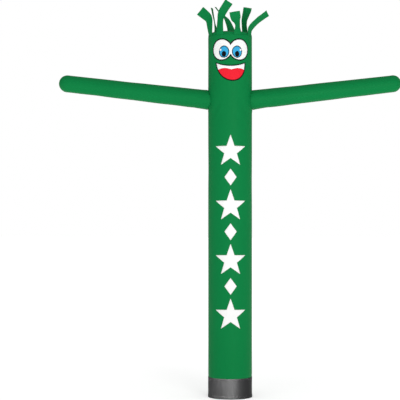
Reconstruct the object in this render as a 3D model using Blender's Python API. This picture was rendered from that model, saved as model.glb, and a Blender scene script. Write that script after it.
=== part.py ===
"""Inflatable air dancer, standing inflated: a tall cloth tube with two arms, a face and a sleeve at its foot.

Metres, +Z up. The origin is the centre of the sleeve's mouth, level with the surface that the dancer stands on.
The face looks along -Y, and +X is on the right of someone who faces it.
"""

import math

import bmesh
import bpy
from mathutils import Vector

# The cloth and the tube. Everything round shares one set of facets, so that neighbours lie parallel.
TUBE_RADIUS = 0.2285
CLOTH = 0.002
PATCH_CLOTH = 0.001
GAP = 0.0003
FACETS = 64

# The sleeve at the foot, which slips over the rim of a blower, and the tube's lower edge sewn inside it.
SLEEVE_HEIGHT = 0.211
SLEEVE_LAP = 0.025
HEM_HEIGHT = 0.028
HEM_EXTRA = 0.0015

# The head: the tube runs straight up to the crown's seam, and the crown is a disc that the air domes.
CROWN_SEAM_Z = 3.772
CROWN_HEM = 0.005
CROWN_CORNER = 0.022
CROWN_RISE = 0.018

# Small gathers where the tube's cloth is sewn to the sleeve and to the crown. They only draw it inwards.
GATHERS = 16
GATHER_DEPTH = 0.003
GATHER_REACH = 0.06

# The arms, measured along their own axis from the tube's axis.
ARM_LIFT = math.radians(6.55)
ARM_CROSSING_Z = 3.079
ARM_REACH = 1.803
ARM_RADIUS_AT_SHOULDER = 0.1000
ARM_RADIUS_AT_TIP = 0.0875
ARM_FACETS = 32
ARM_GATHERS = 8
ARM_GATHER_DEPTH = 0.0025
ARM_SEAM_GAP = 0.0006

# The face, laid out on the flat cloth: s runs round the front from its middle, z is height.
EYE_S = 0.094
EYE_Z = 3.610
EYE_RADIUS = 0.104
RIM_WIDTH = 0.010
IRIS_S = 0.0690
IRIS_Z = 3.587
IRIS_HALF_WIDTH = 0.0485
IRIS_HALF_HEIGHT = 0.0565
IRIS_RIM_WIDTH = 0.0055
PUPIL_Z = 3.564
PUPIL_HALF_WIDTH = 0.0225
PUPIL_HALF_HEIGHT = 0.0290
GLINT_S = 0.106
GLINT_Z = 3.607
GLINT_RADIUS = 0.010
MOUTH_HALF_WIDTH = 0.155
MOUTH_CORNER_Z = 3.472
MOUTH_DIP = 0.031
MOUTH_DEPTH = 0.176
MOUTH_SKEW = 0.020
TONGUE_DROP = 0.071
TONGUE_RISE = 0.017
TONGUE_CLEFT = 0.016
MOUTH_CLEAR = 0.0015
EDGE_GAP = 0.0006
ROUND_STEPS = 32

# The column of shapes down the front.
COLUMN_TOP_Z = 2.730
COLUMN_SPACE = 0.043
STAR_RADIUS = 0.170
STAR_INNER_RADIUS = 0.068
DIAMOND_HALF_WIDTH = 0.062
DIAMOND_HALF_HEIGHT = 0.085
COLUMN = ("star", "diamond", "star", "diamond", "star", "diamond", "star")

# The hair strips, spaced round the crown's seam, and sewn to it over a short lap.
STRIP_WIDTH = 0.092
STRIP_LAP = 0.008
STRIP_ROWS = 12
STRIP_COLUMNS = 4

# One table for each strip: where it is sewn, in degrees round the head from the front, and its length.
# Rows: share of the length, lean to the right, lean away from the face, turn of its face, width, in
# degrees and in strip widths. A face turned by 0 looks straight ahead.
HAIR = {
    "hair_a": (-65, 0.306, (
        (0.00, -4, 2, -65, 0.94),
        (0.30, -4, 5, -50, 0.90),
        (0.52, -8, 7, -36, 0.92),
        (0.70, -44, 6, -14, 1.04),
        (1.00, -50, 4, -6, 1.12),
    )),
    "hair_b": (-144, 0.338, (
        (0.00, 0, 4, 36, 0.94),
        (0.12, -4, 7, 38, 0.94),
        (0.32, -12, 8, 68, 0.94),
        (0.60, -10, 10, 80, 0.94),
        (1.00, -5, 10, 74, 0.98),
    )),
    "hair_c": (172, 0.414, (
        (0.00, -4, 4, -8, 0.94),
        (0.12, -10, 9, 0, 0.94),
        (0.30, -18, 6, 30, 0.94),
        (0.50, -25, 6, 44, 0.94),
        (0.64, -43, 6, 56, 0.92),
        (1.00, -42, 5, 70, 0.92),
    )),
    "hair_d": (-29, 0.362, (
        (0.00, 0, -2, -29, 0.95),
        (0.20, 1, -5, -38, 0.92),
        (0.45, 7, -9, -42, 0.90),
        (0.62, 25, -10, -14, 0.92),
        (0.80, 34, -9, 4, 0.94),
        (1.00, 34, -8, 4, 0.97),
    )),
    "hair_e": (19, 0.242, (
        (0.00, 0, -2, 19, 0.90),
        (0.35, -3, -8, 48, 0.84),
        (0.55, -16, -14, 36, 0.92),
        (0.68, -18, -18, 18, 1.14),
        (1.00, -10, -24, 0, 1.18),
    )),
    "hair_f": (132, 0.344, (
        (0.00, -4, 6, -48, 0.92),
        (0.20, -9, 8, -49, 0.90),
        (0.50, 2, 8, -50, 0.92),
        (0.75, 16, 9, -28, 0.96),
        (1.00, 11, 9, -8, 0.97),
    )),
    "hair_g": (62, 0.320, (
        (0.00, -1, -2, 62, 0.94),
        (0.14, 4, 0, 60, 0.94),
        (0.32, 38, 3, 47, 0.94),
        (0.60, 48, 5, 44, 0.94),
        (1.00, 52, 6, 40, 0.98),
    )),
}


def clear_scene():
    for obj in list(bpy.data.objects):
        bpy.data.objects.remove(obj)


def material(name, colour, roughness, metallic=0.0):
    made = bpy.data.materials.new(name)
    made.use_nodes = True
    shader = made.node_tree.nodes["Principled BSDF"]
    shader.inputs["Base Color"].default_value = (*colour, 1)
    shader.inputs["Roughness"].default_value = roughness
    shader.inputs["Metallic"].default_value = metallic
    return made


def add_object(name, bm, finish, smooth_below=None):
    """The mesh as an object of its own. Edges sharper than smooth_below degrees stay sharp."""
    mesh = bpy.data.meshes.new(name)
    bm.to_mesh(mesh)
    bm.free()
    if smooth_below is not None:
        mesh.shade_smooth()
        mesh.set_sharp_from_angle(angle=math.radians(smooth_below))
    mesh.materials.append(finish)
    obj = bpy.data.objects.new(name, mesh)
    bpy.context.scene.collection.objects.link(obj)
    return obj


def skin(rings, pole=None):
    """A sheet through closed rings of points, drawn together at the pole if there is one."""
    bm = bmesh.new()
    loops = [[bm.verts.new(point) for point in ring] for ring in rings]
    count = len(rings[0])
    for low, high in zip(loops, loops[1:]):
        for i in range(count):
            j = (i + 1) % count
            bm.faces.new((low[i], low[j], high[j], high[i]))
    if pole is not None:
        tip = bm.verts.new(pole)
        last = loops[-1]
        for i in range(count):
            bm.faces.new((last[i], last[(i + 1) % count], tip))
    return bm


def thicken(obj, thickness, offset):
    """Gives a sheet its thickness: offset -1 puts all of it behind the sheet, 0 half on each side."""
    solidify = obj.modifiers.new("Cloth thickness", "SOLIDIFY")
    solidify.thickness = thickness
    solidify.offset = offset
    solidify.use_even_offset = True


def gather(angle, distance):
    """How far the tube's cloth is drawn in, at an angle round it and at a distance from a sewn edge."""
    ripple = 0.5 - 0.5 * math.cos(GATHERS * angle)
    uneven = 0.7 + 0.3 * math.sin(3 * angle + 1)
    return GATHER_DEPTH * ripple * uneven * math.exp(-distance / GATHER_REACH)


def ring_at(z, radius, distance):
    """A level ring of the tube, with the gathers of a seam at that distance."""
    points = []
    for i in range(FACETS):
        angle = 2 * math.pi * i / FACETS
        r = radius - gather(angle, distance)
        points.append((r * math.sin(angle), -r * math.cos(angle), z))
    return points


def make_tube(finish):
    """The tube from inside the sleeve up to the crown's seam, with a hole for each arm."""
    foot = SLEEVE_HEIGHT - SLEEVE_LAP
    middle = (foot + CROWN_SEAM_Z) / 2
    steps = (0, 0.025, 0.06, 0.12, 0.25)
    below = [(foot + step, step) for step in steps]
    above = [(CROWN_SEAM_Z - step, step) for step in reversed(steps)]
    levels = below + [(middle, middle)] + above
    rings = [ring_at(z, TUBE_RADIUS, distance) for z, distance in levels]
    tube = add_object("tube", skin(rings), finish, smooth_below=30)
    thicken(tube, CLOTH, -1)
    for side in (-1, 1):
        cut = tube.modifiers.new("Arm hole", "BOOLEAN")
        cut.operation = "DIFFERENCE"
        cut.object = arm_hole_cutter(side)


def crown_profile():
    """(radius, height) up the crown's outer side: its seam, a rounded corner, then a low dome."""
    seam = CROWN_SEAM_Z + GAP
    corner = [(TUBE_RADIUS, seam)]
    for degrees in (0, 30, 60, 85):
        angle = math.radians(degrees)
        r = TUBE_RADIUS - CROWN_CORNER * (1 - math.cos(angle))
        corner.append((r, seam + CROWN_HEM + CROWN_CORNER * math.sin(angle)))
    edge_r, edge_z = corner[-1]
    dome = [(edge_r * share, edge_z + CROWN_RISE * (1 - share**2)) for share in (0.7, 0.35)]
    return corner + dome, (0, 0, edge_z + CROWN_RISE)


def make_crown(finish):
    profile, pole = crown_profile()
    foot_z = profile[0][1]
    rings = [ring_at(z, r, z - foot_z + TUBE_RADIUS - r) for r, z in profile]
    crown = add_object("crown", skin(rings, pole), finish, smooth_below=40)
    thicken(crown, CLOTH, -1)


def make_sleeve(finish):
    """The stiff sleeve, turned from its section: a plain wall with a folded hem round its mouth."""
    inner = TUBE_RADIUS + GAP
    outer = inner + CLOTH
    section = (
        (outer, SLEEVE_HEIGHT),
        (outer, HEM_HEIGHT),
        (outer + HEM_EXTRA, HEM_HEIGHT - HEM_EXTRA),
        (outer + HEM_EXTRA, 0),
        (inner, 0),
        (inner, SLEEVE_HEIGHT),
    )
    bm = bmesh.new()
    corners = [bm.verts.new((r, 0, z)) for r, z in section]
    for first, second in zip(corners, corners[1:] + corners[:1]):
        bm.edges.new((first, second))
    sleeve = add_object("sleeve", bm, finish)
    turn = sleeve.modifiers.new("Turned section", "SCREW")
    turn.steps = turn.render_steps = FACETS
    turn.use_merge_vertices = True
    turn.merge_threshold = 0.00001
    turn.use_smooth_shade = False


def arm_point(side, along, radius, angle):
    """A point of an arm's skin: along its axis, and at a radius and angle round it."""
    x = along * math.cos(ARM_LIFT) - radius * math.sin(angle) * math.sin(ARM_LIFT)
    z = along * math.sin(ARM_LIFT) + radius * math.sin(angle) * math.cos(ARM_LIFT)
    return Vector((side * x, radius * math.cos(angle), ARM_CROSSING_Z + z))


def arm_radius(along):
    """The arm tapers evenly from the shoulder to where its rounded tip begins."""
    start, end = TUBE_RADIUS, ARM_REACH - ARM_RADIUS_AT_TIP
    share = min(max((along - start) / (end - start), 0), 1)
    return ARM_RADIUS_AT_SHOULDER + share * (ARM_RADIUS_AT_TIP - ARM_RADIUS_AT_SHOULDER)


def arm_gather(angle, along):
    """How far the arm's cloth is drawn in towards the seam round its shoulder."""
    ripple = 0.5 - 0.5 * math.cos(ARM_GATHERS * angle)
    return ARM_GATHER_DEPTH * ripple * math.exp(-(along - TUBE_RADIUS) / GATHER_REACH)


def meets_tube(side, angle):
    """Where a line of the arm's skin reaches the inner face of the tube's wall."""
    wall = TUBE_RADIUS - CLOTH
    near, far = 0, 2 * TUBE_RADIUS
    for _ in range(40):
        along = (near + far) / 2
        point = arm_point(side, along, ARM_RADIUS_AT_SHOULDER, angle)
        if math.hypot(point.x, point.y) < wall:
            near = along
        else:
            far = along
    return along


def make_arm(name, side, finish):
    """A tapered tube from the shoulder hole to a round closed tip."""
    angles = [2 * math.pi * i / ARM_FACETS for i in range(ARM_FACETS)]
    tip_start = ARM_REACH - ARM_RADIUS_AT_TIP
    root = [arm_point(side, meets_tube(side, a), ARM_RADIUS_AT_SHOULDER, a) for a in angles]
    rings = [root]
    for along in (0.262, 0.30, 0.36, 0.48, 0.80, 1.15, 1.45, tip_start):
        rings.append([
            arm_point(side, along, arm_radius(along) - arm_gather(a, along), a) for a in angles
        ])
    for degrees in (25, 50, 72):
        turn = math.radians(degrees)
        along = tip_start + ARM_RADIUS_AT_TIP * math.sin(turn)
        radius = ARM_RADIUS_AT_TIP * math.cos(turn)
        rings.append([arm_point(side, along, radius, a) for a in angles])
    bm = skin(rings, arm_point(side, ARM_REACH, 0, 0))
    if side < 0:
        bmesh.ops.reverse_faces(bm, faces=bm.faces)
    arm = add_object(name, bm, finish, smooth_below=30)
    thicken(arm, CLOTH, -1)


def arm_hole_cutter(side):
    """The shoulder hole in the tube, a little wider than the arm that is sewn into it."""
    radius = ARM_RADIUS_AT_SHOULDER + ARM_SEAM_GAP
    angles = [2 * math.pi * i / ARM_FACETS for i in range(ARM_FACETS)]
    rings = [
        [arm_point(side, along, radius, a) for a in angles]
        for along in (TUBE_RADIUS / 2, TUBE_RADIUS * 3 / 2)
    ]
    bm = bmesh.new()
    near, far = [[bm.verts.new(point) for point in ring] for ring in rings]
    for i in range(ARM_FACETS):
        j = (i + 1) % ARM_FACETS
        bm.faces.new((near[i], near[j], far[j], far[i]))
    bm.faces.new(near)
    bm.faces.new(far)
    bmesh.ops.recalc_face_normals(bm, faces=bm.faces)
    mesh = bpy.data.meshes.new("arm_hole_cutter")
    bm.to_mesh(mesh)
    bm.free()
    cutter = bpy.data.objects.new("arm_hole_cutter", mesh)
    cutter.hide_render = True
    cutter.display_type = "WIRE"
    bpy.context.scene.collection.objects.link(cutter)
    return cutter


def on_tube(s, z, radius):
    """A point of the flat cloth laid on the tube's facets, moved out to that radius."""
    facet = 2 * math.pi / FACETS
    step, share = divmod(s / TUBE_RADIUS / facet, 1)
    first = Vector((math.sin(step * facet), -math.cos(step * facet), 0))
    second = Vector((math.sin((step + 1) * facet), -math.cos((step + 1) * facet), 0))
    return radius * first.lerp(second, share) + Vector((0, 0, z))


def cut_at_facets(bm, half_width):
    """Divides a flat shape along the edges of the tube's facets, so that each piece lies on one facet."""
    facet_width = 2 * math.pi * TUBE_RADIUS / FACETS
    reach = int(half_width / facet_width) + 1
    for step in range(-reach, reach + 1):
        bmesh.ops.bisect_plane(
            bm,
            geom=bm.verts[:] + bm.edges[:] + bm.faces[:],
            dist=1e-6,
            plane_co=(step * facet_width, 0, 0),
            plane_no=(1, 0, 0),
        )


def make_patch(name, outline, layer, finish, hole=None):
    """A sewn-on shape of thin cloth, from its (s, z) outline, and with a hole of as many points if given."""
    bm = bmesh.new()
    outer = [bm.verts.new((s, z, 0)) for s, z in outline]
    if hole is None:
        bm.faces.new(outer)
        bmesh.ops.triangulate(bm, faces=bm.faces)
    else:
        inner = [bm.verts.new((s, z, 0)) for s, z in hole]
        for i in range(len(outer)):
            j = (i + 1) % len(outer)
            bm.faces.new((outer[i], outer[j], inner[j], inner[i]))
    cut_at_facets(bm, max(abs(s) for s, _ in outline))
    raised = bmesh.ops.extrude_face_region(bm, geom=bm.faces[:])
    front = {item for item in raised["geom"] if isinstance(item, bmesh.types.BMVert)}
    back_radius = TUBE_RADIUS + EDGE_GAP + layer * (PATCH_CLOTH + EDGE_GAP)
    for vert in bm.verts:
        s, z = vert.co.x, vert.co.y
        vert.co = on_tube(s, z, back_radius + (PATCH_CLOTH if vert in front else 0))
    bmesh.ops.recalc_face_normals(bm, faces=bm.faces)
    add_object(name, bm, finish)


def oval(s, z, half_width, half_height):
    turns = [2 * math.pi * i / ROUND_STEPS for i in range(ROUND_STEPS)]
    return [(s + half_width * math.cos(a), z + half_height * math.sin(a)) for a in turns]


def joined_eyes(radius):
    """Two overlapping discs side by side as one outline, with a notch above and below."""
    notch = math.acos(EYE_S / radius)
    steps = ROUND_STEPS - 4
    turns = [notch - math.pi + (2 * math.pi - 2 * notch) * i / steps for i in range(steps)]
    right = [(EYE_S + radius * math.cos(t), EYE_Z + radius * math.sin(t)) for t in turns]
    left = [(-s, 2 * EYE_Z - z) for s, z in right]
    return right + left


def make_eyes(finishes):
    """The joined whites in their dark rim, and on each side an iris in its rim, a pupil and a glint."""
    whites = joined_eyes(EYE_RADIUS)
    rim = joined_eyes(EYE_RADIUS + RIM_WIDTH)
    make_patch("eye_rim", rim, 0, finishes["dark"], hole=joined_eyes(EYE_RADIUS + EDGE_GAP))
    make_patch("eye_whites", whites, 0, finishes["white"])
    for side_name, side in (("left", -1), ("right", 1)):
        s = side * IRIS_S
        iris, iris_hole, iris_rim = (
            oval(s, IRIS_Z, IRIS_HALF_WIDTH + more, IRIS_HALF_HEIGHT + more)
            for more in (0, EDGE_GAP, IRIS_RIM_WIDTH)
        )
        make_patch(f"iris_{side_name}", iris, 1, finishes["blue"])
        make_patch(f"iris_rim_{side_name}", iris_rim, 1, finishes["dark"], hole=iris_hole)
        pupil = oval(s, PUPIL_Z, PUPIL_HALF_WIDTH, PUPIL_HALF_HEIGHT)
        make_patch(f"pupil_{side_name}", pupil, 2, finishes["dark"])
        glint = oval(side * GLINT_S, GLINT_Z, GLINT_RADIUS, GLINT_RADIUS)
        make_patch(f"glint_{side_name}", glint, 2, finishes["white"])


def mouth_lid(half_width, corner_z):
    """The mouth's upper edge from left to right, hanging in a shallow bow."""
    steps = ROUND_STEPS // 2
    shares = [2 * i / steps - 1 for i in range(steps + 1)]
    return [(half_width * t, corner_z - MOUTH_DIP * (1 - t * t)) for t in shares]


def bowl_point(half_width, corner_z, depth, turn):
    """The mouth's lower edge is half an ellipse, drawn a little to the right towards its bottom."""
    s = half_width * math.cos(turn) + MOUTH_SKEW * math.sin(turn)
    return s, corner_z - depth * math.sin(turn)


def mouth_bowl(half_width, corner_z, depth, start=0.0):
    """The lower edge from right to left, leaving out the same turn at both ends."""
    steps = ROUND_STEPS // 2
    turns = [start + (math.pi - 2 * start) * i / steps for i in range(steps + 1)]
    return [bowl_point(half_width, corner_z, depth, turn) for turn in turns]


def tongue_line(centre_s, half_width, z):
    """The tongue's upper edge from right to left: two low lobes with a cleft between them."""
    steps = ROUND_STEPS // 2
    line = []
    for i in range(steps + 1):
        t = 1 - 2 * i / steps
        rise = TONGUE_RISE * (1 - t**4) - TONGUE_CLEFT * max(0, 1 - 2 * abs(t)) ** 1.5
        line.append((centre_s + half_width * t, z + rise))
    return line


def make_mouth(finishes):
    """An open smile: a dark rim round the teeth and the tongue, which meet along the tongue's line."""
    hole = mouth_lid(MOUTH_HALF_WIDTH, MOUTH_CORNER_Z)
    hole += mouth_bowl(MOUTH_HALF_WIDTH, MOUTH_CORNER_Z, MOUTH_DEPTH)[1:-1]
    wide, high = MOUTH_HALF_WIDTH + RIM_WIDTH * 1.2, MOUTH_CORNER_Z + RIM_WIDTH * 0.9
    rim = mouth_lid(wide, high) + mouth_bowl(wide, high, MOUTH_DEPTH + RIM_WIDTH * 1.9)[1:-1]
    make_patch("mouth_rim", rim, 0, finishes["dark"], hole=hole)

    narrow, low = MOUTH_HALF_WIDTH - 2 * MOUTH_CLEAR, MOUTH_CORNER_Z - MOUTH_CLEAR
    depth = MOUTH_DEPTH - 2 * MOUTH_CLEAR
    start = math.asin(TONGUE_DROP / depth)
    bowl = mouth_bowl(narrow, low, depth, start)
    tongue_s, tongue_half = MOUTH_SKEW * math.sin(start), narrow * math.cos(start)
    top_edge = tongue_line(tongue_s, tongue_half, low - TONGUE_DROP)
    make_patch("tongue", bowl + list(reversed(top_edge))[1:-1], 0, finishes["red"])

    cheek = [start * i / 4 for i in range(1, 4)]
    right = [bowl_point(narrow, low, depth, turn) for turn in cheek]
    left = [bowl_point(narrow, low, depth, math.pi - turn) for turn in reversed(cheek)]
    teeth_edge = tongue_line(tongue_s, tongue_half, low - TONGUE_DROP + 2 * EDGE_GAP)
    make_patch("teeth", mouth_lid(narrow, low) + right + teeth_edge + left, 0, finishes["white"])


def star(z):
    points = []
    for i in range(10):
        turn = math.pi * i / 5
        radius = STAR_INNER_RADIUS if i % 2 else STAR_RADIUS
        points.append((radius * math.sin(turn), z + radius * math.cos(turn)))
    return points


def diamond(z):
    return [
        (0, z + DIAMOND_HALF_HEIGHT),
        (-DIAMOND_HALF_WIDTH, z),
        (0, z - DIAMOND_HALF_HEIGHT),
        (DIAMOND_HALF_WIDTH, z),
    ]


def make_column(finish):
    """Plain stars and diamonds in turn, one under the other down the front."""
    star_drop = STAR_RADIUS * math.cos(math.pi / 5)
    top = COLUMN_TOP_Z
    for number, shape in enumerate(COLUMN, start=1):
        rise, drop = DIAMOND_HALF_HEIGHT, DIAMOND_HALF_HEIGHT
        if shape == "star":
            rise, drop = STAR_RADIUS, star_drop
        outline = star(top - rise) if shape == "star" else diamond(top - rise)
        make_patch(f"{shape}_{number}", outline, 0, finish)
        top -= rise + drop + COLUMN_SPACE


def table_value(rows, share, column):
    """A column of a strip's table at any share of its length, eased from row to row."""
    for low, high in zip(rows, rows[1:]):
        if share <= high[0]:
            part = (share - low[0]) / (high[0] - low[0])
            eased = part * part * (3 - 2 * part)
            return low[column] + (high[column] - low[column]) * eased
    return rows[-1][column]


def strip_grid(root_degrees, length, rows):
    """Rows of points across a hair strip, which hugs the head at its root and turns as it rises."""
    ring = TUBE_RADIUS + GAP + CLOTH / 2 + EDGE_GAP
    root = math.radians(root_degrees)
    centre = Vector((ring * math.sin(root), -ring * math.cos(root), CROWN_SEAM_Z - STRIP_LAP))
    grid = []
    for row in range(STRIP_ROWS + 1):
        share = row / STRIP_ROWS
        lean, back, turn = (math.radians(table_value(rows, share, c)) for c in (1, 2, 3))
        width = STRIP_WIDTH * table_value(rows, share, 4)
        up = Vector((math.sin(lean) * math.cos(back), math.sin(back), math.cos(lean) * math.cos(back)))
        across = Vector((math.cos(turn), math.sin(turn), 0))
        across = (across - up * across.dot(up)).normalized()
        outward = across.cross(up)
        if row:
            centre = centre + up * (length / STRIP_ROWS)
        bow = (1 - share) / ring if abs(root_degrees) < 90 else -(1 - share) / ring
        points = []
        for column in range(STRIP_COLUMNS + 1):
            u = width * (column / STRIP_COLUMNS - 0.5)
            points.append(centre + across * u - outward * (bow * u * u / 2))
        grid.append(points)
    return grid


def make_strip(name, root_degrees, length, rows, finish):
    bm = bmesh.new()
    grid = [[bm.verts.new(p) for p in line] for line in strip_grid(root_degrees, length, rows)]
    for low, high in zip(grid, grid[1:]):
        for i in range(STRIP_COLUMNS):
            bm.faces.new((low[i], low[i + 1], high[i + 1], high[i]))
    strip = add_object(name, bm, finish, smooth_below=50)
    thicken(strip, CLOTH, 0)


def main():
    clear_scene()
    green = material("green_cloth", (0.0033, 0.2000, 0.0510), 0.55)
    finishes = {
        "dark": material("black_cloth", (0.010, 0.010, 0.012), 0.60),
        "white": material("white_cloth", (0.880, 0.880, 0.870), 0.55),
        "blue": material("blue_cloth", (0.040, 0.360, 0.640), 0.55),
        "red": material("red_cloth", (0.830, 0.018, 0.032), 0.55),
    }
    make_tube(green)
    make_crown(green)
    make_sleeve(material("sleeve_cloth", (0.040, 0.040, 0.042), 0.38))
    make_arm("arm_left", -1, green)
    make_arm("arm_right", 1, green)
    for name, (root_degrees, length, rows) in HAIR.items():
        make_strip(name, root_degrees, length, rows, green)
    make_eyes(finishes)
    make_mouth(finishes)
    make_column(finishes["white"])


main()
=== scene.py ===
"""Looks of the inflatable air dancer: fine filled cloth in the place of each plain solid, with its seams.

Metres, +Z up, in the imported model's own frame. The face looks along -Y, and +X is on the right of someone
who faces it. Round the tube, an angle of 0 is the middle of the front, and s is the length of cloth from there.
"""

import math

import bpy
import numpy as np
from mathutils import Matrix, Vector
from mathutils.geometry import delaunay_2d_cdt


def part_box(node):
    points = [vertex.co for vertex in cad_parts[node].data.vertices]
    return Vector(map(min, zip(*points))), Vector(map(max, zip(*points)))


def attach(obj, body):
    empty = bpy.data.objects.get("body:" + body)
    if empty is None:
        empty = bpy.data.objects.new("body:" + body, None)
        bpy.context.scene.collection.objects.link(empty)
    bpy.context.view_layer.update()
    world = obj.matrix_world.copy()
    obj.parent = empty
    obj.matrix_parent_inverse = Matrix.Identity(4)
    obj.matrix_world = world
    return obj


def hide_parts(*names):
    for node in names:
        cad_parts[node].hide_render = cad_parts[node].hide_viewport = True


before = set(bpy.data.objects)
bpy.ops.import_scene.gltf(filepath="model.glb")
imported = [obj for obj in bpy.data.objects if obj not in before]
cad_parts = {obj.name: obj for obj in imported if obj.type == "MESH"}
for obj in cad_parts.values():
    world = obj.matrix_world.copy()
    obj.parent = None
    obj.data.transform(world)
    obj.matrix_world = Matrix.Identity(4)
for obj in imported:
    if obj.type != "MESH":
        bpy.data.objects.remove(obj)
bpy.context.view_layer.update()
BODY = "root"

# The tube, the crown and the sleeve take their sizes from the frame.
TUBE_LOW, TUBE_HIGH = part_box("tube")
RADIUS = (TUBE_HIGH.x - TUBE_LOW.x) / 2
FOOT_Z, SEAM_Z = TUBE_LOW.z, TUBE_HIGH.z
CROWN_TOP_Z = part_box("crown")[1].z
SLEEVE_TOP_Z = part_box("sleeve")[1].z
SLEEVE_INNER = RADIUS + 0.0003
CLOTH = 0.0006
SEAM_DRAWN_IN = 0.0010
CROWN_HEM = 0.005
CROWN_CORNER = 0.022
CROWN_RISE = 0.018
HEM_HEIGHT = 0.028

# The arms lie along straight axes that cross in the tube's axis.
ARM_LIFT = math.radians(6.55)
ARM_CROSSING_Z = 3.079
ARM_REACH = 1.803
SHOULDER_RADIUS = 0.1000
TIP_RADIUS = 0.0875

# The face, as it is laid out on the flat cloth.
EYE_S, EYE_Z, EYE_RADIUS = 0.094, 3.610, 0.104
RIM_WIDTH = 0.010
IRIS_S, IRIS_Z = 0.0690, 3.587
IRIS_HALF_WIDTH, IRIS_HALF_HEIGHT = 0.0485, 0.0565
IRIS_RIM_WIDTH = 0.0055
PUPIL_Z, PUPIL_HALF_WIDTH, PUPIL_HALF_HEIGHT = 3.564, 0.0225, 0.0290
GLINT_S, GLINT_Z, GLINT_RADIUS = 0.106, 3.607, 0.010
MOUTH_HALF_WIDTH, MOUTH_CORNER_Z = 0.155, 3.472
MOUTH_DIP, MOUTH_DEPTH, MOUTH_SKEW = 0.031, 0.176, 0.020
TONGUE_DROP, TONGUE_RISE, TONGUE_CLEFT = 0.071, 0.017, 0.016

# The column of shapes down the front.
COLUMN_TOP_Z = 2.730
COLUMN_SPACE = 0.043
STAR_RADIUS, STAR_INNER_RADIUS = 0.170, 0.068
DIAMOND_HALF_WIDTH, DIAMOND_HALF_HEIGHT = 0.062, 0.085
COLUMN = ("star", "diamond", "star", "diamond", "star", "diamond", "star")

# The hair strips. One table for each: where it is sewn, in degrees round the head, and its length.
# Rows: share of the length, lean to the right, lean away from the face, turn of its face, width, in
# degrees and in strip widths. The last value of a strip is how its free end curls, in millimetres.
STRIP_WIDTH = 0.092
STRIP_LAP = 0.008
HAIR = {
    "hair_a": (-65, 0.306, (
        (0.00, -4, 2, -65, 0.94),
        (0.30, -4, 5, -50, 0.90),
        (0.52, -8, 7, -36, 0.92),
        (0.70, -44, 6, -14, 1.04),
        (1.00, -50, 4, -6, 1.12),
    ), 4),
    "hair_b": (-144, 0.338, (
        (0.00, 0, 4, 36, 0.94),
        (0.12, -4, 7, 38, 0.94),
        (0.32, -12, 8, 68, 0.94),
        (0.60, -10, 10, 80, 0.94),
        (1.00, -5, 10, 74, 0.98),
    ), -3),
    "hair_c": (172, 0.414, (
        (0.00, -4, 4, -8, 0.94),
        (0.12, -10, 9, 0, 0.94),
        (0.30, -18, 6, 30, 0.94),
        (0.50, -25, 6, 44, 0.94),
        (0.64, -43, 6, 56, 0.92),
        (1.00, -42, 5, 70, 0.92),
    ), 3),
    "hair_d": (-29, 0.362, (
        (0.00, 0, -2, -29, 0.95),
        (0.20, 1, -5, -38, 0.92),
        (0.45, 7, -9, -42, 0.90),
        (0.62, 25, -10, -14, 0.92),
        (0.80, 34, -9, 4, 0.94),
        (1.00, 34, -8, 4, 0.97),
    ), -4),
    "hair_e": (19, 0.242, (
        (0.00, 0, -2, 19, 0.90),
        (0.35, -3, -8, 48, 0.84),
        (0.55, -16, -14, 36, 0.92),
        (0.68, -18, -18, 18, 1.14),
        (1.00, -10, -24, 0, 1.18),
    ), 3),
    "hair_f": (132, 0.344, (
        (0.00, -4, 6, -48, 0.92),
        (0.20, -9, 8, -49, 0.90),
        (0.50, 2, 8, -50, 0.92),
        (0.75, 16, 9, -28, 0.96),
        (1.00, 11, 9, -8, 0.97),
    ), -3),
    "hair_g": (62, 0.320, (
        (0.00, -1, -2, 62, 0.94),
        (0.14, 4, 0, 60, 0.94),
        (0.32, 38, 3, 47, 0.94),
        (0.60, 48, 5, 44, 0.94),
        (1.00, 52, 6, 40, 0.98),
    ), 4),
}

# How finely the cloth is divided. The blocks round the shoulders are counted in columns and rows of the tube.
COLUMNS = 128
ROW = 0.015
FINE_ROW = 0.006
BLOCK_COLUMNS, BLOCK_ROWS = 28, 20
ARM_COLUMNS = 2 * (BLOCK_COLUMNS + BLOCK_ROWS)
SHOULDER_RINGS = 8

# Stitches
STITCH, STITCH_PITCH, THREAD = 0.0045, 0.0070, 0.0008


# Materials

def node(tree, kind, settings=None, **inputs):
    """A shader node. An input that is a socket is linked, and any other value is set."""
    made = tree.nodes.new(kind)
    for key, value in (settings or {}).items():
        setattr(made, key, value)
    for key, value in inputs.items():
        socket = made.inputs[int(key[1:]) if key[0] == "i" and key[1:].isdigit() else key.replace("_", " ")]
        if isinstance(value, bpy.types.NodeSocket):
            tree.links.new(value, socket)
        else:
            socket.default_value = value
    return made


def math_node(tree, operation, first, second=0.0):
    return node(tree, "ShaderNodeMath", {"operation": operation}, i0=first, i1=second).outputs[0]


def thread_lines(tree, coordinate, pitch, share):
    """1 on evenly spaced thin lines across a coordinate in metres, and 0 between them."""
    repeat = math_node(tree, "FRACT", math_node(tree, "MULTIPLY", coordinate, 1 / pitch))
    off_middle = math_node(tree, "ABSOLUTE", math_node(tree, "SUBTRACT", repeat, 0.5))
    return node(
        tree, "ShaderNodeMapRange", {"interpolation_type": "SMOOTHSTEP"},
        Value=off_middle, From_Min=0.5 - share, From_Max=0.5, To_Min=0.0, To_Max=1.0,
    ).outputs["Result"]


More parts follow.
